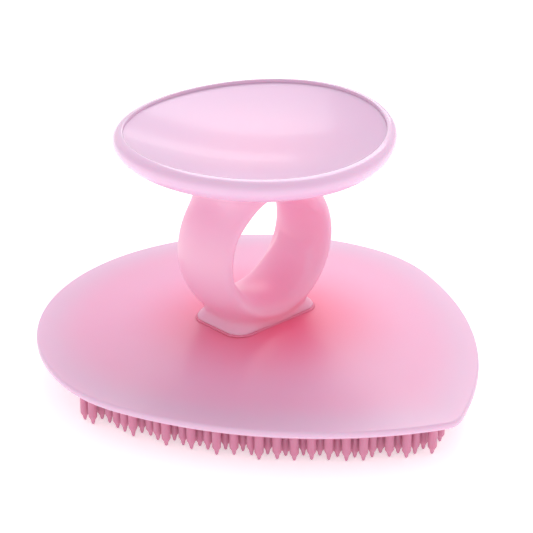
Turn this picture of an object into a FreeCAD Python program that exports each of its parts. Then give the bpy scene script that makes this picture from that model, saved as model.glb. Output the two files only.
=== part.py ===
import FreeCAD, Part
import math
import os

# Scalp massager brush: a dished palm rest on a finger ring, standing on a pointed, domed base
# with a soft pad of pins below. Sizes are in millimetres. The origin is the middle of the
# footprint at the level of the pin tips. +Z is up and the base's point faces -Y.

# Footprint of the base: tangent arcs from the point, round one side, to the middle of the back.
POINT_RADIUS = 4.76
POINT_TURN = 26.0
SIDE_RADIUS = 75.5
SIDE_TURN = 47.0
SHOULDER_RADIUS = 30.0
SHOULDER_TURN = 30.0

# Base cover
RIM_Z = 7.8
RIM_HEIGHT = 1.45
RIM_BEVEL = 0.4
DOME_RISE = 3.05
PLATEAU_SCALE = 0.25
RIM_LAND = 2.5
CAVITY_RISE = 1.68
SEAT_DEPTH = 0.6
SEAT_CLEARANCE = 0.05

# Handle position and finger ring, whose hole runs along Y
HANDLE_Y = 5.4
RING_Z = 27.2
RING_MEAN_RADIUS = 12.9
RING_HALF_THICKNESS = 2.85
RING_HALF_WIDTH = 7.2
RING_EDGE_HALF_THICKNESS = 0.7
RING_EDGE_BULGE = 0.45
CORNER_RADIUS = 3.5
FOOT_HALF_X = 10.9
FOOT_HALF_Y = 7.0
NECK_HALF_X = 9.6
NECK_HALF_Y = 6.2
NECK_Z = 14.5
HEAD_HALF_X = 11.4
HEAD_HALF_Y = 6.9
HEAD_Z = 37.8
SEAL_WIDTH = 0.6
SEAL_HEIGHT = 0.9

# Palm rest: an elliptical bowl under a dished cap, both raised a little at the +X and -X ends
PALM_HALF_X = 27.2
PALM_HALF_Y = 26.1
PALM_RIM_Z = 50.6
PALM_END_RISE = 1.24
DISH_DEPTH = 4.2
DISH_WALL = 1.0
BOWL_BOTTOM_Z = 40.7
BOWL_LIP = 4.4
BOWL_LIP_ROUND = 1.7
BOWL_BAND = 2.0
BOWL_FLOOR = 1.9
BOWL_CAVITY_SCALE = 0.8
CAP_CLEARANCE = 0.05

# Backing plate and bristle pad
PLATE_THICKNESS = 1.1
PLATE_TOP_Z = 8.5
PLATE_INSET = 2.6
PAD_THICKNESS = 1.2
PAD_INSET = 2.7
PAD_POINT_RADIUS = 1.5
PIN_PITCH = 2.23
PIN_INSET = 3.7
PIN_SIDE_INSET = 5.3
PIN_SHOULDER_ANGLE = 43.0
PIN_SHOULDER_REACH = 36.4
PIN_ROOT_RADIUS = 0.92
PIN_NECK_RADIUS = 0.84
PIN_TIP_RADIUS = 0.2
PIN_TIP_LENGTH = 1.8
STUD_COUNT = 6
STUD_CIRCLE_RADIUS = 23.0
STUD_RADIUS = 1.5
STUD_HEAD_RADIUS = 2.2
STUD_HEAD_HEIGHT = 0.8

# Self-tapping screws, two into the ring's foot and two into its head
SCREW_RADIUS = 1.3
SCREW_HOLE_RADIUS = 1.5
SCREW_HEAD_RADIUS = 2.6
SCREW_HEAD_HEIGHT = 1.4
SCREW_POINT = 1.0
FOOT_SCREW_X = 6.0
FOOT_SCREW_TOP_Z = 16.7
HEAD_SCREW_X = 8.0
HEAD_SCREW_BOTTOM_Z = 35.5
HEAD_SCREW_SEAT_Z = 43.1

CUT_MARGIN = 10.0
V = FreeCAD.Vector
UP = V(0, 0, 1)


def arc_point(centre, radius, heading):
    """The point of an anticlockwise arc where its tangent has this heading, in degrees."""
    angle = math.radians(heading - 90)
    return (centre[0] + radius * math.cos(angle), centre[1] + radius * math.sin(angle))


def footprint_arcs():
    """Centres and radii of the side, shoulder and back arcs, with the headings between them."""
    heading = 0.0
    point = (0.0, 0.0)
    arcs = []
    turns = ((POINT_RADIUS, POINT_TURN), (SIDE_RADIUS, SIDE_TURN), (SHOULDER_RADIUS, SHOULDER_TURN))
    for radius, turn in turns:
        angle = math.radians(heading)
        centre = (point[0] - radius * math.sin(angle), point[1] + radius * math.cos(angle))
        heading += turn
        point = arc_point(centre, radius, heading)
        arcs.append((centre, radius, heading))
    back_radius = point[0] / math.sin(math.radians(heading))
    back_y = point[1] + back_radius * math.cos(math.radians(heading))
    arcs.append(((0.0, back_y), back_radius, 180.0))
    middle = (back_y + back_radius) / 2
    return [((c[0], c[1] - middle), radius, end) for c, radius, end in arcs]


ARCS = footprint_arcs()


def outline(inset=0.0, z=0.0, scale=1.0, point_radius=None):
    """The footprint as a closed wire, moved inwards by inset and scaled about the handle."""
    (_, full_point, _), (side_c, side_r, side_end), (shoulder_c, shoulder_r, shoulder_end), back = ARCS
    tip = full_point - inset if point_radius is None else point_radius
    reach = side_r - inset - tip
    tip_y = side_c[1] - math.sqrt(reach ** 2 - side_c[0] ** 2)
    tip_end = math.degrees(math.atan2(tip_y - side_c[1], -side_c[0])) + 90
    runs = (
        ((0.0, tip_y), tip, -tip_end, tip_end),
        (side_c, side_r - inset, tip_end, side_end),
        (shoulder_c, shoulder_r - inset, side_end, shoulder_end),
        (back[0], back[1] - inset, shoulder_end, 360 - shoulder_end),
    )

    def place(centre, radius, heading, mirror):
        x, y = arc_point(centre, radius, heading)
        return V(mirror * x * scale, HANDLE_Y + (y - HANDLE_Y) * scale, z)

    def edge(run, mirror=1):
        centre, radius, start, end = run
        headings = (start, (start + end) / 2, end)
        if mirror < 0:
            headings = headings[::-1]
        return Part.Arc(*[place(centre, radius, h, mirror) for h in headings]).toShape()

    tip_run, side, shoulder, back_run = runs
    edges = [edge(tip_run), edge(side), edge(shoulder), edge(back_run)]
    edges += [edge(shoulder, -1), edge(side, -1)]
    return Part.Wire(edges)


def slab(wire, height):
    """A solid of this height standing on a flat closed wire."""
    return Part.Face(wire).extrude(V(0, 0, height))


def domed(inset, z, rise, steps=6):
    """A shallow dome on the inset footprint, flat over its middle."""
    wires = []
    for i in range(steps):
        scale = 1 - (1 - PLATEAU_SCALE) * i / (steps - 1)
        wires.append(outline(inset, z + rise * (1 - scale ** 2), scale))
    return Part.makeLoft(wires, True, False)


def rounded_rectangle(half_x, half_y, z, radius=CORNER_RADIUS):
    """A rounded rectangle about the handle's axis, as a closed wire."""
    reach = radius * math.sin(math.radians(45))
    edges = []
    for turn in range(4):
        sx, sy = ((1, 1), (-1, 1), (-1, -1), (1, -1))[turn]
        cx, cy = sx * (half_x - radius), HANDLE_Y + sy * (half_y - radius)
        on_side = V(cx + sx * radius, cy, z)
        on_end = V(cx, cy + sy * radius, z)
        middle = V(cx + sx * reach, cy + sy * reach, z)
        ends = (on_side, on_end) if turn % 2 == 0 else (on_end, on_side)
        edges.append(Part.Arc(ends[0], middle, ends[1]).toShape())
    sides = []
    for turn in range(4):
        start = edges[turn].valueAt(edges[turn].LastParameter)
        following = edges[(turn + 1) % 4]
        sides.append(Part.makeLine(start, following.valueAt(following.FirstParameter)))
    return Part.Wire([e for pair in zip(edges, sides) for e in pair])


def post(x, z, height, radius):
    """A round post on the handle's plane."""
    return Part.makeCylinder(radius, height, V(x, HANDLE_Y, z), UP)


def about_handle(face):
    """Turn a section, drawn beside the ring's axis, into a full ring."""
    return face.revolve(V(0, HANDLE_Y, RING_Z), V(0, 1, 0), 360)


def ring_section_point(radius, across):
    return V(radius, HANDLE_Y + across, RING_Z)


def ring_inner_arc():
    """The convex inner side of the ring's section."""
    edge = RING_MEAN_RADIUS - RING_EDGE_HALF_THICKNESS
    return Part.Arc(
        ring_section_point(edge, -RING_HALF_WIDTH),
        ring_section_point(RING_MEAN_RADIUS - RING_HALF_THICKNESS, 0),
        ring_section_point(edge, RING_HALF_WIDTH),
    ).toShape()


def finger_hole():
    """The space inside the ring, carried on past both faces."""
    edge = RING_MEAN_RADIUS - RING_EDGE_HALF_THICKNESS
    far = RING_HALF_WIDTH + CUT_MARGIN
    corners = [
        ring_section_point(edge, RING_HALF_WIDTH),
        ring_section_point(edge, far),
        ring_section_point(0, far),
        ring_section_point(0, -far),
        ring_section_point(edge, -far),
        ring_section_point(edge, -RING_HALF_WIDTH),
    ]
    lines = [Part.makeLine(a, b) for a, b in zip(corners, corners[1:])]
    return about_handle(Part.Face(Part.Wire([ring_inner_arc()] + lines)))


def ring_band():
    """The ring alone: a lens-shaped section turned about the hole's axis."""
    inner = RING_MEAN_RADIUS - RING_EDGE_HALF_THICKNESS
    outer = RING_MEAN_RADIUS + RING_EDGE_HALF_THICKNESS
    bulge = RING_HALF_WIDTH + RING_EDGE_BULGE
    ends = []
    for side in (1, -1):
        ends.append(Part.Arc(
            ring_section_point(inner, side * RING_HALF_WIDTH),
            ring_section_point(RING_MEAN_RADIUS, side * bulge),
            ring_section_point(outer, side * RING_HALF_WIDTH),
        ).toShape())
    back = Part.Arc(
        ring_section_point(outer, RING_HALF_WIDTH),
        ring_section_point(RING_MEAN_RADIUS + RING_HALF_THICKNESS, 0),
        ring_section_point(outer, -RING_HALF_WIDTH),
    ).toShape()
    return about_handle(Part.Face(Part.Wire([ring_inner_arc(), ends[0], back, ends[1]])))


def palm_surface(z, rise_x, rise_y):
    """A face that climbs from z at the middle by these rises at the palm rest's X and Y ends."""
    reach = PALM_HALF_X + CUT_MARGIN
    surface = Part.BezierSurface()
    surface.increase(2, 2)
    climb_x = rise_x * (reach / PALM_HALF_X) ** 2
    climb_y = rise_y * (reach / PALM_HALF_Y) ** 2
    for i in range(3):
        for j in range(3):
            bend_x = climb_x if i != 1 else -climb_x
            bend_y = climb_y if j != 1 else -climb_y
            pole = V((i - 1) * reach, HANDLE_Y + (j - 1) * reach, z + bend_x + bend_y)
            surface.setPole(i + 1, j + 1, pole)
    return surface.toShape()


def over(face):
    return face.extrude(V(0, 0, PALM_RIM_Z))


def under(face):
    return face.extrude(V(0, 0, -PALM_RIM_Z))


def palm_prism(inset=0.0, scale=1.0):
    """An upright elliptical bar through the palm rest."""
    half_x = (PALM_HALF_X - inset) * scale
    half_y = (PALM_HALF_Y - inset) * scale
    ellipse = Part.Ellipse(V(0, HANDLE_Y, BOWL_BOTTOM_Z - CUT_MARGIN), half_x, half_y).toShape()
    return slab(Part.Wire(ellipse), PALM_RIM_Z)


DISH_TOP = palm_surface(PALM_RIM_Z - DISH_DEPTH, DISH_DEPTH + PALM_END_RISE, DISH_DEPTH)
DISH_UNDERSIDE = palm_surface(
    PALM_RIM_Z - DISH_DEPTH - DISH_WALL, DISH_DEPTH + PALM_END_RISE, DISH_DEPTH)
BOWL_RISE = PALM_RIM_Z - BOWL_LIP - BOWL_BOTTOM_Z
BOWL_UNDERSIDE = palm_surface(BOWL_BOTTOM_Z, BOWL_RISE + PALM_END_RISE, BOWL_RISE)
BOWL_INSIDE = palm_surface(BOWL_BOTTOM_Z + BOWL_FLOOR, BOWL_RISE + PALM_END_RISE, BOWL_RISE)
SEAT_Z = RIM_Z + RIM_HEIGHT + DOME_RISE - SEAT_DEPTH
CAVITY_Z = RIM_Z + RIM_HEIGHT - RIM_BEVEL
CAVITY_TOP_Z = CAVITY_Z + CAVITY_RISE * (1 - PLATEAU_SCALE ** 2)
PAD_TOP_Z = PLATE_TOP_Z - PLATE_THICKNESS
PIN_ROOT_Z = PAD_TOP_Z - PAD_THICKNESS


def palm_dish():
    """The glossy cap that the palm lies on."""
    return palm_prism(BOWL_BAND + CAP_CLEARANCE).common(over(DISH_UNDERSIDE)).common(under(DISH_TOP))


def palm_bowl():
    """The rounded underside of the palm rest, with a full round lip and a rebate for the cap."""
    body = palm_prism().common(over(BOWL_UNDERSIDE)).common(under(DISH_TOP))
    body = body.makeFillet(BOWL_LIP_ROUND, [edge for edge in body.Edges if edge.isClosed()])
    body = body.cut(palm_prism(BOWL_BAND).common(over(DISH_UNDERSIDE)))
    body = body.cut(palm_prism(scale=BOWL_CAVITY_SCALE).common(over(BOWL_INSIDE)))
    for x in (-HEAD_SCREW_X, HEAD_SCREW_X):
        body = body.cut(post(x, BOWL_BOTTOM_Z - CUT_MARGIN, 2 * CUT_MARGIN, SCREW_HOLE_RADIUS))
        body = body.cut(post(x, HEAD_SCREW_SEAT_Z, CUT_MARGIN, SCREW_HEAD_RADIUS + CAP_CLEARANCE))
    return body


def screw(x, seat_z, end_z):
    """A pan-head screw from the seat under its head to the end of its point."""
    way = 1 if end_z > seat_z else -1
    axis = V(0, 0, way)
    length = abs(end_z - seat_z) - SCREW_POINT
    head = Part.makeCylinder(SCREW_HEAD_RADIUS, SCREW_HEAD_HEIGHT, V(x, HANDLE_Y, seat_z), -axis)
    shank = Part.makeCylinder(SCREW_RADIUS, length, V(x, HANDLE_Y, seat_z), axis)
    point_at = V(x, HANDLE_Y, seat_z + way * length)
    point = Part.makeCone(SCREW_RADIUS, SCREW_RADIUS / 3, SCREW_POINT, point_at, axis)
    return head.fuse([shank, point]).removeSplitter()


def palm_screws():
    seats = (-HEAD_SCREW_X, HEAD_SCREW_X)
    return Part.makeCompound([screw(x, HEAD_SCREW_SEAT_Z, HEAD_SCREW_BOTTOM_Z) for x in seats])


def base_screws():
    seats = (-FOOT_SCREW_X, FOOT_SCREW_X)
    return Part.makeCompound([screw(x, CAVITY_TOP_Z, FOOT_SCREW_TOP_Z) for x in seats])


def finger_ring():
    """The ring with its neck and foot below and its head above, drilled for the screws."""
    neck_top = RING_Z - RING_MEAN_RADIUS / 2
    neck = Part.makeLoft([
        rounded_rectangle(FOOT_HALF_X, FOOT_HALF_Y, SEAT_Z),
        rounded_rectangle(NECK_HALF_X, NECK_HALF_Y, NECK_Z),
        rounded_rectangle(HEAD_HALF_X, NECK_HALF_Y, neck_top),
    ], True, False)
    head_top = BOWL_BOTTOM_Z + BOWL_RISE
    head = Part.makeLoft([
        rounded_rectangle(HEAD_HALF_X, NECK_HALF_Y, RING_Z + RING_MEAN_RADIUS / 2),
        rounded_rectangle(HEAD_HALF_X, HEAD_HALF_Y, HEAD_Z),
        rounded_rectangle(HEAD_HALF_X, FOOT_HALF_Y, head_top),
    ], True, False)
    body = ring_band().fuse([neck, head]).cut(over(BOWL_UNDERSIDE)).cut(finger_hole())
    below_foot = Part.makeBox(4 * CUT_MARGIN, 4 * CUT_MARGIN, SEAT_Z, V(-2 * CUT_MARGIN, -CUT_MARGIN, 0))
    body = body.cut(below_foot).cut(base_screws()).cut(palm_screws())
    return body.removeSplitter()


def foot_seal():
    """A thin soft lip round the foot, let into the base cover."""
    outer = rounded_rectangle(
        FOOT_HALF_X + SEAL_WIDTH, FOOT_HALF_Y + SEAL_WIDTH, SEAT_Z, CORNER_RADIUS + SEAL_WIDTH)
    ring = slab(outer, SEAL_HEIGHT)
    grown = SEAT_CLEARANCE
    inner = rounded_rectangle(
        FOOT_HALF_X + grown, FOOT_HALF_Y + grown, SEAT_Z - CUT_MARGIN, CORNER_RADIUS + grown)
    return ring.cut(slab(inner, 2 * CUT_MARGIN))


def base_cover():
    """The domed shell with its rounded rim, a seat for the foot and a mouth for the plate."""
    top = RIM_Z + RIM_HEIGHT
    levels = ((RIM_BEVEL, RIM_Z), (0, RIM_Z + RIM_BEVEL), (0, top - RIM_BEVEL), (RIM_BEVEL, top))
    rim = Part.makeLoft([outline(inset, z) for inset, z in levels], True, True)
    body = rim.fuse(domed(RIM_BEVEL, top, DOME_RISE))
    body = body.cut(slab(outline(RIM_LAND, RIM_Z - CUT_MARGIN), CUT_MARGIN + CAVITY_Z - RIM_Z))
    body = body.cut(domed(RIM_LAND, CAVITY_Z, CAVITY_RISE))
    grown = SEAL_WIDTH + SEAT_CLEARANCE
    seat = rounded_rectangle(
        FOOT_HALF_X + grown, FOOT_HALF_Y + grown, SEAT_Z, CORNER_RADIUS + grown)
    body = body.cut(slab(seat, CUT_MARGIN))
    for x in (-FOOT_SCREW_X, FOOT_SCREW_X):
        body = body.cut(post(x, CAVITY_Z, CUT_MARGIN, SCREW_HOLE_RADIUS))
    return body.removeSplitter()


def stud_places():
    for i in range(STUD_COUNT):
        angle = 2 * math.pi * (i + 0.5) / STUD_COUNT
        yield STUD_CIRCLE_RADIUS * math.cos(angle), HANDLE_Y + STUD_CIRCLE_RADIUS * math.sin(angle)


def backing_plate():
    """The stiff plate that closes the base and carries the pad."""
    plate = slab(outline(PLATE_INSET, PAD_TOP_Z), PLATE_THICKNESS)
    for x, y in stud_places():
        plate = plate.cut(Part.makeCylinder(STUD_RADIUS, CUT_MARGIN, V(x, y, PAD_TOP_Z), UP))
    return plate


def pin_places():
    """A square grid of pins, with a column on the centre line. The margin is wider at the sides,
    and a straight line cuts across each back shoulder."""
    field = Part.Face(outline(PIN_INSET, point_radius=PAD_POINT_RADIUS))
    side_centre, side_radius, _ = ARCS[1]
    shoulder = math.radians(PIN_SHOULDER_ANGLE)
    front = outline().BoundBox.YMin
    columns = int(field.BoundBox.XMax / PIN_PITCH)
    rows = int((field.BoundBox.YMax - front) / PIN_PITCH) + 1
    for row in range(rows):
        y = front + (row + 0.5) * PIN_PITCH
        for column in range(-columns, columns + 1):
            x = column * PIN_PITCH
            beside = side_radius - math.hypot(abs(x) - side_centre[0], y - side_centre[1])
            reach = abs(x) * math.cos(shoulder) + y * math.sin(shoulder)
            if beside < PIN_SIDE_INSET or reach > PIN_SHOULDER_REACH:
                continue
            if field.isInside(V(x, y, 0), 1e-4, True):
                yield x, y


def pin_faces(x, y):
    """The sides and the flat end of one tapering pin."""
    shank = PIN_ROOT_Z - PIN_TIP_LENGTH
    down = V(0, 0, -1)
    root = Part.makeCone(PIN_ROOT_RADIUS, PIN_NECK_RADIUS, shank, V(x, y, PIN_ROOT_Z), down)
    tip = Part.makeCone(PIN_NECK_RADIUS, PIN_TIP_RADIUS, PIN_TIP_LENGTH, V(x, y, PIN_TIP_LENGTH), down)
    return [f for f in root.Faces if f.Surface.TypeId == "Part::GeomCone"] + [
        f for f in tip.Faces if f.Surface.TypeId == "Part::GeomCone" or f.BoundBox.ZMax < 1e-6]


def bristle_pad():
    """The soft pad: a sheet with pins below and mushroom studs above."""
    sheet = slab(outline(PAD_INSET, PIN_ROOT_Z, point_radius=PAD_POINT_RADIUS), PAD_THICKNESS)
    for x, y in stud_places():
        stud = Part.makeCylinder(STUD_RADIUS, PLATE_THICKNESS, V(x, y, PAD_TOP_Z), UP)
        head = Part.makeCylinder(STUD_HEAD_RADIUS, STUD_HEAD_HEIGHT, V(x, y, PLATE_TOP_Z), UP)
        sheet = sheet.fuse([stud, head])
    sheet = sheet.removeSplitter()
    flat = [f for f in sheet.Faces if f.BoundBox.ZMax < PIN_ROOT_Z + 1e-6]
    faces = [f for f in sheet.Faces if f.BoundBox.ZMax >= PIN_ROOT_Z + 1e-6]
    holes = []
    for x, y in pin_places():
        holes.append(Part.Wire(Part.makeCircle(PIN_ROOT_RADIUS, V(x, y, PIN_ROOT_Z), UP)))
        faces += pin_faces(x, y)
    faces.append(Part.makeFace([flat[0].OuterWire] + holes, "Part::FaceMakerBullseye"))
    shell = Part.makeShell(faces)
    shell.sewShape()
    return Part.makeSolid(shell)


NODES = (
    palm_dish, palm_bowl, palm_screws, finger_ring, foot_seal,
    base_cover, base_screws, backing_plate, bristle_pad,
)

os.makedirs("parts", exist_ok=True)
for node in NODES:
    shape = node()
    for solid in shape.Solids:
        if not solid.isValid() or solid.Volume <= 0:
            raise ValueError(node.__name__ + " is not a sound solid")
    shape.exportStep("parts/" + node.__name__ + ".step")
    box = shape.BoundBox
    sizes = "%.1f x %.1f x %.1f" % (box.XLength, box.YLength, box.ZLength)
    print(node.__name__, len(shape.Solids), "solid(s)", sizes, "volume %.0f" % shape.Volume)
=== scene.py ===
import math
import random

import bpy
import numpy as np
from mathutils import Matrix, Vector


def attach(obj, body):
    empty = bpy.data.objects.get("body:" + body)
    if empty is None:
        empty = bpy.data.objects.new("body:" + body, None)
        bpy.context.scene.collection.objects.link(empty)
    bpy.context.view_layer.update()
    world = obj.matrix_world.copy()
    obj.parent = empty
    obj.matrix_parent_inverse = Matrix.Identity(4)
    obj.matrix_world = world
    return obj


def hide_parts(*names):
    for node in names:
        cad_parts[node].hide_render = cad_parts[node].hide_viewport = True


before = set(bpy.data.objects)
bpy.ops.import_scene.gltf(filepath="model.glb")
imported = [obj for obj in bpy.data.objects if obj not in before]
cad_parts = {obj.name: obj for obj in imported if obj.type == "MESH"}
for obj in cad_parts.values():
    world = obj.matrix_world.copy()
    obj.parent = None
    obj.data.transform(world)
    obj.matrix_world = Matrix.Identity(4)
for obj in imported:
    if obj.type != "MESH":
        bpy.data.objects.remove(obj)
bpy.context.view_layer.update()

# Scalp massager brush. Sizes below are in millimetres in the CAD's own frame, and MM turns them
# into Blender's metres. +Z is up, the base's point faces -Y, and the pin tips stand at z = 0.
MM = 0.001

# Footprint of the base: tangent arcs from the point, round one side, to the middle of the back
POINT_RADIUS, POINT_TURN = 4.76, 26.0
SIDE_RADIUS, SIDE_TURN = 75.5, 47.0
SHOULDER_RADIUS, SHOULDER_TURN = 30.0, 30.0

# Base cover
RIM_Z = 7.8
RIM_HEIGHT = 1.45
RIM_ROUND = 0.55
DOME_RISE = 3.05
PLATEAU_SCALE = 0.2
RIM_LAND = 2.5
CAVITY_RISE = 1.6
CROWN_Z = RIM_Z + RIM_HEIGHT + DOME_RISE * (1 - PLATEAU_SCALE ** 2)

# Handle, finger ring and the seal round its foot
HANDLE_Y = 5.4
RING_Z = 27.2
RING_MEAN_RADIUS = 12.9
RING_HALF_THICKNESS = 2.85
RING_HALF_WIDTH = 7.2
RING_EDGE_HALF_THICKNESS = 0.7
CORNER_RADIUS = 3.5
FOOT_HALF = (10.9, 7.0)
NECK_HALF = (9.4, 6.1)
NECK_Z = 14.5
NECK_TOP_Z = NECK_Z + 9.0
NECK_TOP_HALF_X = NECK_HALF[0] + 0.6
HEAD_HALF = (11.2, 6.9)
HEAD_Z = 37.8
HEAD_LOW_Z = HEAD_Z - 5.0
HEAD_LOW_HALF_Y = 6.4
HEAD_HIGH_Z = HEAD_Z + 6.0
HEAD_HIGH_HALF = (HEAD_HALF[0] + 0.4, HEAD_HALF[1] + 0.5)
SURFACE_OVERLAP = 0.05
NET_STEP = 0.4
SEAL_THICKNESS = 0.35
SEAL_TUCK = 0.12

# Palm rest
PALM_HALF = (27.2, 26.1)
PALM_RIM_Z = 49.98
PALM_END_RISE = 1.24
DISH_DEPTH = 3.9
DISH_WALL = 1.0
BOWL_BOTTOM_Z = 40.7
BOWL_LIP = 3.3
BOWL_BAND = 2.0
BOWL_FLOOR = 1.9
LIP_TUCK = 3.4
LIP_WIDEST_DROP = 1.8
DISH_EDGE_INSET = BOWL_BAND + 0.02
DISH_EDGE_RADIUS = 0.05

# Backing plate and bristle pad
PLATE_BOTTOM_Z = 7.4
PAD_THICKNESS = 1.2
PAD_INSET = 2.7
PAD_POINT_RADIUS = 1.5
PIN_ROOT_Z = PLATE_BOTTOM_Z - PAD_THICKNESS
PIN_PITCH = 2.23
PIN_INSET = 3.7
PIN_SIDE_INSET = 5.3
PIN_SHOULDER_ANGLE = math.radians(43.0)
PIN_SHOULDER_REACH = 36.4
PIN_ROOT_RADIUS = 0.92
PIN_NECK_RADIUS = 0.86
PIN_SIDES = 10
PIN_ROWS = 60
PIN_COLUMNS_A_SIDE = 30
PIN_SEED = 7


def build(name, points, faces):
    """A smooth mesh object from millimetre points, in Blender's metres."""
    mesh = bpy.data.meshes.new(name)
    mesh.from_pydata([tuple(p) for p in np.asarray(points) * MM], [], faces)
    mesh.validate()
    mesh.update()
    mesh.shade_smooth()
    piece = bpy.data.objects.new(name, mesh)
    bpy.context.scene.collection.objects.link(piece)
    return piece


def loop_faces(rows, count, start=0, flip=False):
    """Quads between successive closed loops of points, laid end to end from index start."""
    faces = []
    for r in range(rows - 1):
        for i in range(count):
            j = (i + 1) % count
            a, b = start + r * count + i, start + r * count + j
            c, d = b + count, a + count
            faces.append((a, d, c, b) if flip else (a, b, c, d))
    return faces


def fan(centre, ring_start, count, flip=False):
    """Triangles from a middle point to a loop of points."""
    faces = []
    for i in range(count):
        a, b = ring_start + i, ring_start + (i + 1) % count
        faces.append((centre, b, a) if flip else (centre, a, b))
    return faces


def lathe_like(name, loops):
    """A closed solid from a stack of loops, with a middle point closing each end."""
    loops = np.asarray(loops)
    rows, count = loops.shape[:2]
    points = np.concatenate([loops.reshape(-1, 3), [loops[0].mean(0)], [loops[-1].mean(0)]])
    first, last = rows * count, rows * count + 1
    faces = loop_faces(rows, count)
    faces += fan(first, 0, count, flip=True)
    faces += fan(last, (rows - 1) * count, count)
    return build(name, points, faces)


# ---------------------------------------------------------------- footprint

def arc_point(centre, radius, heading):
    angle = np.radians(heading - 90)
    return np.array([centre[0] + radius * np.cos(angle), centre[1] + radius * np.sin(angle)])


def footprint_arcs():
    """Centre, radius and last heading of the side, shoulder and back arcs, with y centred."""
    heading, point, arcs = 0.0, np.zeros(2), []
    turns = ((POINT_RADIUS, POINT_TURN), (SIDE_RADIUS, SIDE_TURN), (SHOULDER_RADIUS, SHOULDER_TURN))
    for radius, turn in turns:
        angle = math.radians(heading)
        centre = point + radius * np.array([-math.sin(angle), math.cos(angle)])
        heading += turn
        point = arc_point(centre, radius, heading)
        arcs.append([centre, radius, heading])
    back_radius = point[0] / math.sin(math.radians(heading))
    back_y = point[1] + back_radius * math.cos(math.radians(heading))
    arcs.append([np.array([0.0, back_y]), back_radius, 180.0])
    middle = (back_y + back_radius) / 2
    for arc in arcs:
        arc[0] = arc[0] - (0, middle)
    return arcs


ARCS = footprint_arcs()
FRONT_Y = -(ARCS[3][0][1] + ARCS[3][1])


def footprint(inset=0.0, point_radius=None, count=320):
    """Points evenly spread in turning and length along the footprint, moved inwards by inset."""
    (_, full_point, _), side, shoulder, back = ARCS
    tip = full_point - inset if point_radius is None else point_radius
    reach = side[1] - inset - tip
    tip_y = side[0][1] - math.sqrt(reach ** 2 - side[0][0] ** 2)
    tip_end = math.degrees(math.atan2(tip_y - side[0][1], -side[0][0])) + 90
    half = (
        (np.array([0.0, tip_y]), tip, 0.0, tip_end),
        (side[0], side[1] - inset, tip_end, side[2]),
        (shoulder[0], shoulder[1] - inset, side[2], shoulder[2]),
        (back[0], back[1] - inset, shoulder[2], 180.0),
    )
    shares = (0.1, 0.36, 0.16, 0.38)
    points = []
    for (centre, radius, start, end), share in zip(half, shares):
        steps = round(count / 2 * share)
        for i in range(steps):
            points.append(arc_point(centre, radius, start + (end - start) * i / steps))
    last = arc_point(back[0], back[1] - inset, 180.0)
    right = np.array(points)
    left = right[:0:-1] * (-1, 1)
    return np.concatenate([right, [last], left])


def at_height(outline, z):
    return np.column_stack([outline, np.full(len(outline), z)])


def shrunk(outline, scale):
    """The outline scaled about the handle's axis."""
    middle = np.array([0.0, HANDLE_Y])
    return middle + (outline - middle) * scale


def inset_of(x, y):
    """How far a point lies inside the footprint."""
    _, side, shoulder, back = ARCS
    point = np.array([abs(x), y])

    def heading(centre):
        return math.degrees(math.atan2(point[1] - centre[1], point[0] - centre[0])) + 90

    arc = side
    if heading(back[0]) >= shoulder[2]:
        arc = back
    elif heading(shoulder[0]) >= side[2]:
        arc = shoulder
    return arc[1] - math.hypot(*(point - arc[0]))


# ---------------------------------------------------------------- base cover

def dome_height(scale):
    return RIM_Z + RIM_HEIGHT + DOME_RISE * (1 - scale ** 2)


def make_base_cover():
    """The domed shell: cavity, mouth and land below, a rounded rim, and the dome on top."""
    loops = []
    mouth = footprint(RIM_LAND)
    cavity_z = RIM_Z + RIM_HEIGHT - RIM_ROUND
    for scale in np.linspace(PLATEAU_SCALE, 1.0, 12):
        loops.append(at_height(shrunk(mouth, scale), cavity_z + CAVITY_RISE * (1 - scale ** 2)))
    loops.append(at_height(mouth, cavity_z - 0.15))
    loops.append(at_height(mouth, RIM_Z + 0.15))
    loops.append(at_height(footprint(RIM_LAND - 0.1), RIM_Z))
    for inset in (1.8, 1.1):
        loops.append(at_height(footprint(inset), RIM_Z))
    half = RIM_HEIGHT / 2
    for angle in np.linspace(-90, 90, 15):
        out = math.cos(math.radians(angle))
        up = math.sin(math.radians(angle))
        inset = RIM_ROUND * (1 - abs(out) ** 0.8)
        loops.append(at_height(footprint(inset), RIM_Z + half + half * math.copysign(abs(up) ** 0.9, up)))
    edge = footprint(RIM_ROUND)
    for scale in np.linspace(1, PLATEAU_SCALE, 60)[1:]:
        loops.append(at_height(shrunk(edge, scale), dome_height(scale)))
    return lathe_like("base_cover_shell", loops)


# ---------------------------------------------------------------- implicit finger ring

def smooth_max(a, b, k):
    h = np.clip(0.5 + 0.5 * (a - b) / k, 0, 1)
    return b * (1 - h) + a * h + k * h * (1 - h)


def smooth_min(a, b, k):
    return -smooth_max(-a, -b, k)


def eased(z, levels):
    """A value that moves smoothly between the given (height, value) levels."""
    heights, values = np.array(levels, dtype=float).T
    place = np.interp(z, heights, np.arange(len(heights), dtype=float))
    base = np.floor(np.clip(place, 0, len(heights) - 1.001)).astype(int)
    part = place - base
    part = part * part * (3 - 2 * part)
    return values[base] * (1 - part) + values[base + 1] * part


def column(x, y, z, x_levels, y_levels, low, high):
    """An upright rounded rectangle whose half sizes change with height."""
    qx = np.abs(x) - eased(z, x_levels) + CORNER_RADIUS
    qy = np.abs(y) - eased(z, y_levels) + CORNER_RADIUS
    side = np.hypot(np.maximum(qx, 0), np.maximum(qy, 0)) + np.minimum(np.maximum(qx, qy), 0)
    side = side - CORNER_RADIUS
    return np.maximum(side, np.maximum(low - z, z - high))


def bowl_underside(x, y):
    rise = PALM_RIM_Z - BOWL_LIP - BOWL_BOTTOM_Z
    across = (rise + PALM_END_RISE) * (x / PALM_HALF[0]) ** 2
    along = rise * (y / PALM_HALF[1]) ** 2
    return BOWL_BOTTOM_Z + across + along


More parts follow.
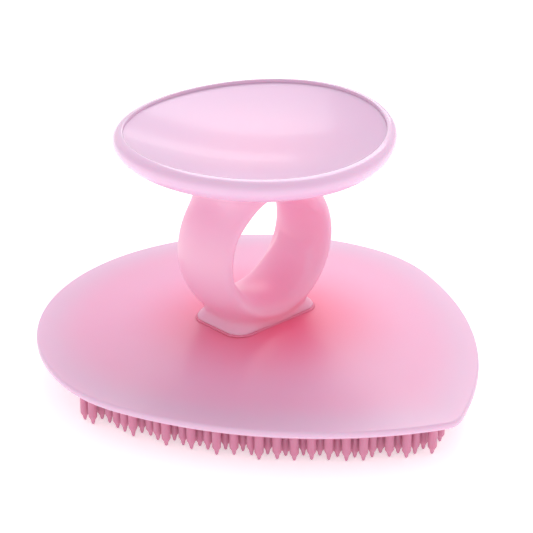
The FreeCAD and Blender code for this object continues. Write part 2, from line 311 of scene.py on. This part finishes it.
def ring_field(x, y, z):
    """Negative inside the finger ring, its neck, foot and head. y is counted from the handle."""
    from_middle = np.hypot(x, z - RING_Z) - RING_MEAN_RADIUS
    flat = RING_HALF_THICKNESS - RING_EDGE_HALF_THICKNESS
    curve = (RING_HALF_WIDTH ** 2 + flat ** 2) / (2 * flat)
    outer = np.hypot(from_middle + curve - RING_HALF_THICKNESS, y) - curve
    inner = np.hypot(from_middle - curve + RING_HALF_THICKNESS, y) - curve
    ends = np.abs(y) - RING_HALF_WIDTH - 0.4
    band = smooth_max(smooth_max(outer, inner, 0.8), ends, 1.4)
    foot_x = ((CROWN_Z, FOOT_HALF[0]), (NECK_Z, NECK_HALF[0]), (NECK_TOP_Z, NECK_TOP_HALF_X))
    foot_y = ((CROWN_Z, FOOT_HALF[1]), (NECK_Z, NECK_HALF[1]), (NECK_TOP_Z, NECK_HALF[1]))
    neck = column(x, y, z, foot_x, foot_y, CROWN_Z - SURFACE_OVERLAP, NECK_TOP_Z)
    head_x = ((HEAD_LOW_Z, HEAD_HALF[0]), (HEAD_Z, HEAD_HALF[0]), (HEAD_HIGH_Z, HEAD_HIGH_HALF[0]))
    head_y = ((HEAD_LOW_Z, HEAD_LOW_HALF_Y), (HEAD_Z, HEAD_HALF[1]), (HEAD_HIGH_Z, HEAD_HIGH_HALF[1]))
    head = column(x, y, z, head_x, head_y, HEAD_LOW_Z, HEAD_HIGH_Z)
    posts = smooth_max(np.minimum(neck, head), inner, 1.2)
    body = smooth_min(band, posts, 1.6)
    body = np.maximum(body, z - bowl_underside(x, y) - 0.1)
    return np.maximum(body, CROWN_Z - SURFACE_OVERLAP - z)


def surface_net(field, low, high, step):
    """Quads on the zero surface of a field, with points settled on it evenly."""
    axes = [np.arange(low[i], high[i] + step, step) for i in range(3)]
    values = field(*np.meshgrid(*axes, indexing="ij"))
    inside = values < 0
    shape = np.array(values.shape)
    total = np.zeros(tuple(shape - 1) + (3,))
    crossings = np.zeros(tuple(shape - 1))
    corners = [(i, j, k) for i in (0, 1) for j in (0, 1) for k in (0, 1)]

    def part(array, corner):
        i, j, k = corner
        return array[i:i + shape[0] - 1, j:j + shape[1] - 1, k:k + shape[2] - 1]

    for a in corners:
        for axis in range(3):
            if a[axis]:
                continue
            b = tuple(1 if n == axis else a[n] for n in range(3))
            va, vb = part(values, a), part(values, b)
            crossed = (va < 0) != (vb < 0)
            share = np.where(crossed, va / np.where(crossed, va - vb, 1), 0)
            for n in range(3):
                total[..., n] += np.where(crossed, a[n] + (share if n == axis else 0), 0)
            crossings += crossed
    cells = np.argwhere(crossings > 0)
    number = -np.ones(tuple(shape - 1), dtype=int)
    number[tuple(cells.T)] = np.arange(len(cells))
    offset = total[tuple(cells.T)] / crossings[tuple(cells.T)][:, None]
    points = (cells + offset) * step + np.array(low)
    faces = []
    for axis in range(3):
        u, v = (axis + 1) % 3, (axis + 2) % 3
        first = [slice(None)] * 3
        second = [slice(None)] * 3
        first[axis], second[axis] = slice(0, -1), slice(1, None)
        edges = np.argwhere(inside[tuple(first)] != inside[tuple(second)])
        edges = edges[(edges[:, u] > 0) & (edges[:, v] > 0)]
        edges = edges[(edges[:, u] < shape[u] - 1) & (edges[:, v] < shape[v] - 1)]
        starts = inside[tuple(edges.T)]
        quad = []
        for du, dv in ((0, 0), (1, 0), (1, 1), (0, 1)):
            cell = edges.copy()
            cell[:, u] -= 1 - du
            cell[:, v] -= 1 - dv
            quad.append(number[tuple(cell.T)])
        quad = np.stack(quad, 1)
        quad[~starts] = quad[~starts][:, ::-1]
        faces.append(quad)
    return points, np.concatenate(faces)


def settle(field, points, rounds=4):
    """Moves points onto the zero surface along the field's slope."""
    h = 0.02
    for _ in range(rounds):
        value = field(*points.T)
        slope = np.stack([
            field(*(points + h * np.eye(3)[n]).T) - field(*(points - h * np.eye(3)[n]).T)
            for n in range(3)
        ], 1) / (2 * h)
        size = np.maximum((slope ** 2).sum(1), 0.2)
        points = points - np.clip(value / size, -0.3, 0.3)[:, None] * slope
    return points


def relax(points, faces):
    """Moves each point to the middle of its neighbours."""
    edges = np.concatenate([faces[:, [0, 1]], faces[:, [1, 2]], faces[:, [2, 3]], faces[:, [3, 0]]])
    total = np.zeros_like(points)
    count = np.zeros(len(points))
    for a, b in (edges.T, edges.T[::-1]):
        np.add.at(total, a, points[b])
        np.add.at(count, a, 1)
    return total / count[:, None]


def make_finger_ring():
    low, high = (-17.0, -9.0, CROWN_Z - 1.0), (17.0, 9.0, 46.0)
    points, faces = surface_net(ring_field, low, high, NET_STEP)
    for _ in range(6):
        points = settle(ring_field, relax(points, faces), 2)
    points = settle(ring_field, points)
    points[:, 1] += HANDLE_Y
    return build("finger_ring_body", points, faces.tolist())


# ---------------------------------------------------------------- seal round the foot

def rounded_rectangle(half, radius, count=24):
    """Points round a rounded rectangle about the handle, anticlockwise."""
    points = []
    for turn, (sx, sy) in enumerate(((1, 1), (-1, 1), (-1, -1), (1, -1))):
        middle = np.array([sx * (half[0] - radius), HANDLE_Y + sy * (half[1] - radius)])
        for i in range(count + 1):
            angle = math.radians(90 * turn + 90 * i / count)
            points.append(middle + radius * np.array([math.cos(angle), math.sin(angle)]))
    return np.array(points)


def make_foot_seal():
    """A soft rounded lip that hugs the foot where it meets the base."""
    loops = []
    for angle in np.linspace(-90, 270, 17)[:-1]:
        out = -SEAL_TUCK + SEAL_THICKNESS * math.cos(math.radians(angle))
        up = CROWN_Z + SURFACE_OVERLAP + SEAL_THICKNESS * 0.6 * math.sin(math.radians(angle))
        half = (FOOT_HALF[0] + out, FOOT_HALF[1] + out)
        loops.append(at_height(rounded_rectangle(half, CORNER_RADIUS + out), up))
    loops = np.array(loops)
    rows, count = loops.shape[:2]
    faces = loop_faces(rows, count)
    last = (rows - 1) * count
    for i in range(count):
        j = (i + 1) % count
        faces.append((last + i, last + j, j, i))
    return build("foot_seal_lip", loops.reshape(-1, 3), faces)


# ---------------------------------------------------------------- palm rest

def palm_loop(ratio, height, count=192, shrink=0.0):
    """An elliptical loop at this share of the palm rest's size, with its height a function."""
    angle = np.linspace(0, 2 * math.pi, count, endpoint=False)
    x = (PALM_HALF[0] * ratio - shrink) * np.cos(angle)
    y = (PALM_HALF[1] * ratio - shrink) * np.sin(angle)
    return np.column_stack([x, y + HANDLE_Y, height(x, y)])


def end_rise(x):
    return PALM_END_RISE * (x / PALM_HALF[0]) ** 2


def dish_top(x, y):
    share = (x / PALM_HALF[0]) ** 2 + (y / PALM_HALF[1]) ** 2
    return PALM_RIM_Z - DISH_DEPTH * (1 - share) + end_rise(x)


def make_palm_dish():
    """The glossy concave cap, with a small rounded edge."""
    loops = []
    edge = DISH_EDGE_INSET
    for ratio in np.linspace(0.004, 0.98, 40):
        loops.append(palm_loop(ratio, lambda x, y: dish_top(x, y) - DISH_WALL, shrink=edge * ratio))
    for low in (DISH_WALL, DISH_WALL - 0.1, DISH_EDGE_RADIUS):
        loops.append(palm_loop(1, lambda x, y: dish_top(x, y) - low, shrink=edge))
    for angle in np.linspace(0, 90, 5)[1:]:
        drop = DISH_EDGE_RADIUS * (1 - math.sin(math.radians(angle)))
        inward = DISH_EDGE_RADIUS * (1 - math.cos(math.radians(angle)))
        loops.append(palm_loop(1, lambda x, y: dish_top(x, y) - drop, shrink=edge + inward))
    for ratio in np.linspace(0.97, 0.004, 60):
        loops.append(palm_loop(ratio, dish_top, shrink=edge * ratio))
    return lathe_like("palm_dish_cap", loops)


def make_palm_bowl():
    """The rounded underside with a full rolled lip, a rebate for the cap and a floor inside."""
    tuck_ratio = 1 - LIP_TUCK / PALM_HALF[0]
    loops = [palm_loop(ratio, bowl_underside) for ratio in np.linspace(0.004, tuck_ratio - 0.01, 50)]
    lowest = PALM_RIM_Z - bowl_underside(0.0, PALM_HALF[1] * tuck_ratio)
    for angle in np.linspace(-84, 90, 26):
        out, up = math.cos(math.radians(angle)), math.sin(math.radians(angle))
        inward, reach = (BOWL_BAND, LIP_WIDEST_DROP) if up > 0 else (LIP_TUCK, lowest - LIP_WIDEST_DROP)
        drop = LIP_WIDEST_DROP - reach * up
        loops.append(palm_loop(
            1, lambda x, y: PALM_RIM_Z + end_rise(x) - drop, shrink=inward * (1 - out)))
    for drop in (0.3, 0.6, DISH_WALL):
        loops.append(palm_loop(1, lambda x, y: dish_top(x, y) - drop, shrink=BOWL_BAND))
    for ratio in (0.9, 0.8):
        loops.append(palm_loop(ratio, lambda x, y: dish_top(x, y) - DISH_WALL - 0.02))
    for ratio in np.linspace(0.79, 0.004, 20):
        loops.append(palm_loop(ratio, lambda x, y: bowl_underside(x, y) + BOWL_FLOOR))
    return lathe_like("palm_bowl_shell", loops)


# ---------------------------------------------------------------- pins

def pin_places():
    """The square grid of pins, with a column on the centre line. The margin is wider at the sides,
    and a straight line cuts across each back shoulder."""
    side = ARCS[1]
    reach = side[1] - PIN_INSET - PAD_POINT_RADIUS
    tip_y = side[0][1] - math.sqrt(reach ** 2 - side[0][0] ** 2)
    places = []
    for row in range(PIN_ROWS):
        y = FRONT_Y + (row + 0.5) * PIN_PITCH
        for column_number in range(-PIN_COLUMNS_A_SIDE, PIN_COLUMNS_A_SIDE + 1):
            x = column_number * PIN_PITCH
            if y < tip_y and math.hypot(x, y - tip_y) > PAD_POINT_RADIUS:
                continue
            beside = side[1] - math.hypot(abs(x) - side[0][0], y - side[0][1])
            reach = abs(x) * math.cos(PIN_SHOULDER_ANGLE) + y * math.sin(PIN_SHOULDER_ANGLE)
            if beside < PIN_SIDE_INSET or reach > PIN_SHOULDER_REACH:
                continue
            if inset_of(x, y) >= PIN_INSET:
                places.append((x, y))
    return places


def pin_loops(x, y, draw):
    """One pin as loops from its root to just above its tip, each pin a little different."""
    length = PIN_ROOT_Z - draw.uniform(0.0, 0.35)
    lean = (draw.uniform(-0.12, 0.12), draw.uniform(-0.12, 0.12))
    tip_length = draw.uniform(1.5, 2.0)
    stem = length - tip_length
    levels = [(0.0, PIN_ROOT_RADIUS * 1.1), (0.25, PIN_ROOT_RADIUS), (stem, PIN_NECK_RADIUS)]
    for share, narrowing in ((0.2, 0.8), (0.42, 0.54), (0.7, 0.42), (0.88, 0.32), (0.97, 0.18)):
        levels.append((stem + tip_length * share, PIN_NECK_RADIUS * narrowing))
    spin = draw.uniform(0, math.pi)
    angle = np.linspace(0, 2 * math.pi, PIN_SIDES, endpoint=False) + spin
    loops = []
    for depth, radius in levels:
        share = depth / PIN_ROOT_Z
        middle = (x + lean[0] * share, y + lean[1] * share)
        loops.append(np.column_stack([
            middle[0] + radius * np.cos(angle), middle[1] + radius * np.sin(angle),
            np.full(PIN_SIDES, PIN_ROOT_Z - depth)]))
    end = (x + lean[0], y + lean[1], PIN_ROOT_Z - length)
    return np.array(loops), end


def make_bristle_pad():
    """The sheet and all its pins in one mesh."""
    draw = random.Random(PIN_SEED)
    outline = footprint(PAD_INSET, PAD_POINT_RADIUS)
    loops = [at_height(shrunk(outline, s), PLATE_BOTTOM_Z) for s in np.linspace(0.05, 0.99, 12)]
    for angle in np.linspace(90, -90, 9):
        out, up = math.cos(math.radians(angle)), math.sin(math.radians(angle))
        edge = footprint(PAD_INSET + 0.4 * (1 - out), PAD_POINT_RADIUS)
        loops.append(at_height(edge, PIN_ROOT_Z + PAD_THICKNESS * (0.5 + 0.5 * up)))
    for scale in np.linspace(0.98, 0.05, 16):
        loops.append(at_height(shrunk(outline, scale), PIN_ROOT_Z))
    loops = np.array(loops)[::-1]
    rows, count = loops.shape[:2]
    points = [loops.reshape(-1, 3), [loops[0].mean(0)], [loops[-1].mean(0)]]
    faces = loop_faces(rows, count)
    faces += fan(rows * count, 0, count, flip=True)
    faces += fan(rows * count + 1, (rows - 1) * count, count)
    used = rows * count + 2
    for x, y in pin_places():
        pin, end = pin_loops(x, y, draw)
        levels = len(pin)
        points += [pin.reshape(-1, 3), [end]]
        faces += loop_faces(levels, PIN_SIDES, used, flip=True)
        faces += fan(used + levels * PIN_SIDES, used + (levels - 1) * PIN_SIDES, PIN_SIDES)
        used += levels * PIN_SIDES + 1
    return build("bristle_pad_soft", np.concatenate(points), faces)


# ---------------------------------------------------------------- materials

def new_material(name):
    material = bpy.data.materials.new(name)
    material.use_nodes = True
    nodes = material.node_tree.nodes
    nodes.clear()
    output = nodes.new("ShaderNodeOutputMaterial")
    shader = nodes.new("ShaderNodeBsdfPrincipled")
    material.node_tree.links.new(shader.outputs[0], output.inputs["Surface"])
    return material, shader


def blend_colour(material, colour, over, amount):
    """Mixes another colour over this one, by a socket that goes from 0 to 1."""
    nodes, links = material.node_tree.nodes, material.node_tree.links
    mix = nodes.new("ShaderNodeMix")
    mix.data_type = "RGBA"
    links.new(amount, mix.inputs["Factor"])
    if isinstance(colour, tuple):
        mix.inputs["A"].default_value = (*colour, 1)
    else:
        links.new(colour, mix.inputs["A"])
    mix.inputs["B"].default_value = (*over, 1)
    return mix.outputs["Result"]


def ranged(material, socket, low, high, at_low, at_high, smooth=False):
    """A socket's value carried from one range to another."""
    node = material.node_tree.nodes.new("ShaderNodeMapRange")
    node.interpolation_type = "SMOOTHSTEP" if smooth else "LINEAR"
    values = {"From Min": low, "From Max": high, "To Min": at_low, "To Max": at_high}
    for name, value in values.items():
        node.inputs[name].default_value = value
    material.node_tree.links.new(socket, node.inputs["Value"])
    return node.outputs["Result"]


def soft_plastic(name, colour, cloudy, roughness, painted_glow_and_shade=(), rim=None, coat=0.0, grain=0.02):
    """Translucent plastic with faint clouds. Each glow is (colour, (x, y, z), reach, amount), colour
    painted round that point for light through thick plastic and for shade; rim is (colour, low z, high
    z), a paler band painted up to high z for sheen and light through a thin edge."""
    material, shader = new_material(name)
    nodes, links = material.node_tree.nodes, material.node_tree.links
    place = nodes.new("ShaderNodeTexCoord").outputs["Object"]
    cloud = nodes.new("ShaderNodeTexNoise")
    cloud.inputs["Scale"].default_value = 60.0
    cloud.inputs["Detail"].default_value = 3.0
    links.new(place, cloud.inputs["Vector"])
    clouds = ranged(material, cloud.outputs["Fac"], 0.1, 0.9, 0, 0.6)
    result = blend_colour(material, colour, cloudy, clouds)
    # Painted sheen: a paler band up to the rim's high z, in place of sheen and light through the thin
    # edge.
    if rim:
        apart = nodes.new("ShaderNodeSeparateXYZ")
        links.new(place, apart.inputs["Vector"])
        edge = ranged(material, apart.outputs["Z"], rim[1] * MM, rim[2] * MM, 1, 0, True)
        result = blend_colour(material, result, rim[0], edge)
    # Painted glow and painted shade: colour laid on round a point, fading with distance, in place of
    # light through the plastic and shade.
    for over, centre, reach, amount in painted_glow_and_shade:
        apart = nodes.new("ShaderNodeVectorMath")
        apart.operation = "DISTANCE"
        apart.inputs[1].default_value = [c * MM for c in centre]
        links.new(place, apart.inputs[0])
        painted_amount = ranged(material, apart.outputs["Value"], 0, reach * MM, amount, 0, True)
        result = blend_colour(material, result, over, painted_amount)
    links.new(result, shader.inputs["Base Color"])
    shine = ranged(material, cloud.outputs["Fac"], 0.1, 0.9, roughness * 0.93, roughness * 1.07)
    links.new(shine, shader.inputs["Roughness"])
    fine = nodes.new("ShaderNodeTexNoise")
    fine.inputs["Scale"].default_value = 900.0
    fine.inputs["Detail"].default_value = 4.0
    links.new(place, fine.inputs["Vector"])
    bump = nodes.new("ShaderNodeBump")
    bump.inputs["Strength"].default_value = grain
    bump.inputs["Distance"].default_value = 0.0002
    links.new(fine.outputs["Fac"], bump.inputs["Height"])
    links.new(bump.outputs["Normal"], shader.inputs["Normal"])
    shader.inputs["Subsurface Weight"].default_value = 0.3
    shader.inputs["Subsurface Radius"].default_value = (1.0, 0.35, 0.5)
    shader.inputs["Subsurface Scale"].default_value = 0.003
    shader.inputs["IOR"].default_value = 1.45
    shader.inputs["Coat Weight"].default_value = coat
    shader.inputs["Coat Roughness"].default_value = 0.08
    return material


def screw_steel():
    material, shader = new_material("screw_steel_zinc")
    nodes, links = material.node_tree.nodes, material.node_tree.links
    place = nodes.new("ShaderNodeTexCoord")
    streaks = nodes.new("ShaderNodeTexNoise")
    streaks.inputs["Scale"].default_value = 700.0
    links.new(place.outputs["Object"], streaks.inputs["Vector"])
    shine = ranged(material, streaks.outputs["Fac"], 0, 1, 0.25, 0.45)
    links.new(shine, shader.inputs["Roughness"])
    shader.inputs["Base Color"].default_value = (0.55, 0.55, 0.57, 1)
    shader.inputs["Metallic"].default_value = 1.0
    return material


def dress(piece, material):
    piece.data.materials.clear()
    piece.data.materials.append(material)


# ---------------------------------------------------------------- pieces

# Centre of the painted glow and painted shade round the foot.
FOOT_AT = (0.0, HANDLE_Y - 4.0, CROWN_Z)
# Painted glow: pinker colour round the bowl's bottom in cap and bowl, in place of the pink ring shining
# through the plastic.
palm_gloss = soft_plastic(
    "palm_gloss", (0.80, 0.48, 0.70), (0.82, 0.51, 0.73), 0.3,
    [((0.98, 0.49, 0.70), (0.0, HANDLE_Y, BOWL_BOTTOM_Z), 24.0, 0.8)], coat=0.15, grain=0.0)
palm_shell = soft_plastic(
    "palm_shell", (0.86, 0.56, 0.78), (0.88, 0.58, 0.78), 0.25,
    [((0.95, 0.45, 0.64), (0.0, HANDLE_Y, BOWL_BOTTOM_Z), 18.0, 0.8)], coat=0.4, grain=0.0)
# Painted glow: deeper pink round the foot, in place of light glowing through the thick plastic there.
ring_satin = soft_plastic(
    "ring_satin", (0.97, 0.50, 0.68), (0.95, 0.53, 0.71), 0.36, [((1.0, 0.37, 0.53), FOOT_AT, 15.0, 0.9)])
# Painted shade and glow: deep red round the foot, in place of shade under the ring and palm rest and
# light glowing through; the paler rim band is painted sheen.
cover_satin = soft_plastic(
    "cover_satin", (0.89, 0.42, 0.61), (0.87, 0.44, 0.64), 0.36,
    [((0.95, 0.15, 0.27), FOOT_AT, 30.0, 1.0)], rim=((0.80, 0.54, 0.72), RIM_Z + 1.2, RIM_Z + 2.8))
# Deep red-pink painted to match the painted shade and glow round the foot.
seal_soft = soft_plastic("seal_soft", (0.93, 0.24, 0.38), (0.92, 0.20, 0.34), 0.45)
pad_soft = soft_plastic("pad_soft", (0.68, 0.28, 0.41), (0.62, 0.23, 0.37), 0.42)
plate_plain = soft_plastic("plate_plain", (0.80, 0.40, 0.55), (0.75, 0.32, 0.48), 0.5)
steel = screw_steel()

PIECES = (
    (make_palm_dish, "palm_dish", "palm_gloss", palm_gloss),
    (make_palm_bowl, "palm_bowl", "palm_shell", palm_shell),
    (make_finger_ring, "finger_ring", "ring_satin", ring_satin),
    (make_foot_seal, "foot_seal", "seal_rubber", seal_soft),
    (make_base_cover, "base_cover", "cover_satin", cover_satin),
    (make_bristle_pad, "bristle_pad", "pad_rubber", pad_soft),
)
for make, node, slot, material in PIECES:
    piece = make()
    dress(piece, material)
    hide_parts(node)
    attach(piece, "root")

for node, material in (("backing_plate", plate_plain), ("palm_screws", steel), ("base_screws", steel)):
    dress(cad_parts[node], material)


# ---------------------------------------------------------------- floor, light and camera

def area_light(name, place, aim, size, power):
    light = bpy.data.lights.new(name, "AREA")
    light.shape = "RECTANGLE"
    light.size, light.size_y = size
    light.energy = power
    lamp = bpy.data.objects.new(name, light)
    lamp.location = place
    lamp.rotation_euler = (Vector(aim) - Vector(place)).to_track_quat("-Z", "Y").to_euler()
    bpy.context.scene.collection.objects.link(lamp)


def make_floor():
    size = 4.0
    mesh = bpy.data.meshes.new("floor")
    mesh.from_pydata([(-size, -size, 0), (size, -size, 0), (size, size, 0), (-size, size, 0)], [],
                     [(0, 1, 2, 3)])
    floor = bpy.data.objects.new("floor", mesh)
    bpy.context.scene.collection.objects.link(floor)
    material, shader = new_material("floor_white")
    nodes, links = material.node_tree.nodes, material.node_tree.links
    cloud = nodes.new("ShaderNodeTexNoise")
    cloud.inputs["Scale"].default_value = 2.0
    tone = ranged(material, cloud.outputs["Fac"], 0, 1, 0.85, 0.95)
    links.new(tone, shader.inputs["Roughness"])
    shader.inputs["Base Color"].default_value = (0.94, 0.94, 0.94, 1)
    shader.inputs["Specular IOR Level"].default_value = 0.1
    shader.inputs["Emission Color"].default_value = (1, 1, 1, 1)
    shader.inputs["Emission Strength"].default_value = 0.5
    dress(floor, material)


def make_world(strength):
    world = bpy.data.worlds.new("studio")
    bpy.context.scene.world = world
    world.use_nodes = True
    world.node_tree.nodes["Background"].inputs["Color"].default_value = (1, 1, 1, 1)
    world.node_tree.nodes["Background"].inputs["Strength"].default_value = strength


def make_camera():
    """A long lens at the height and side that show the dish, the ring's hole and the point."""
    azimuth, elevation, distance = math.radians(-43.0), math.radians(24.0), 0.4655
    aim = Vector((0.00155, 0.00395, 0.02166))
    pivot = Vector((0.0, HANDLE_Y * MM, 0.03366))
    back = Vector((math.sin(azimuth) * math.cos(elevation),
                   -math.cos(azimuth) * math.cos(elevation), math.sin(elevation)))
    camera = bpy.data.objects.new("camera", bpy.data.cameras.new("camera"))
    camera.location = pivot + back * distance
    camera.rotation_euler = (aim - camera.location).to_track_quat("-Z", "Y").to_euler()
    camera.data.lens = 165.7
    camera.data.sensor_width = 36.0
    camera.data.clip_start = 0.01
    camera.data.clip_end = 20.0
    bpy.context.scene.collection.objects.link(camera)
    bpy.context.scene.camera = camera


make_floor()
make_world(0.74)
area_light("strip", (0.53, 0.42, 0.25), (0, 0, 0.045), (0.26, 0.08), 0.13)
area_light("key", (0.40, 0.28, 0.62), (0, 0, 0.03), (0.5, 0.5), 2.4)
make_camera()
bpy.context.scene.view_settings.view_transform = "Standard"
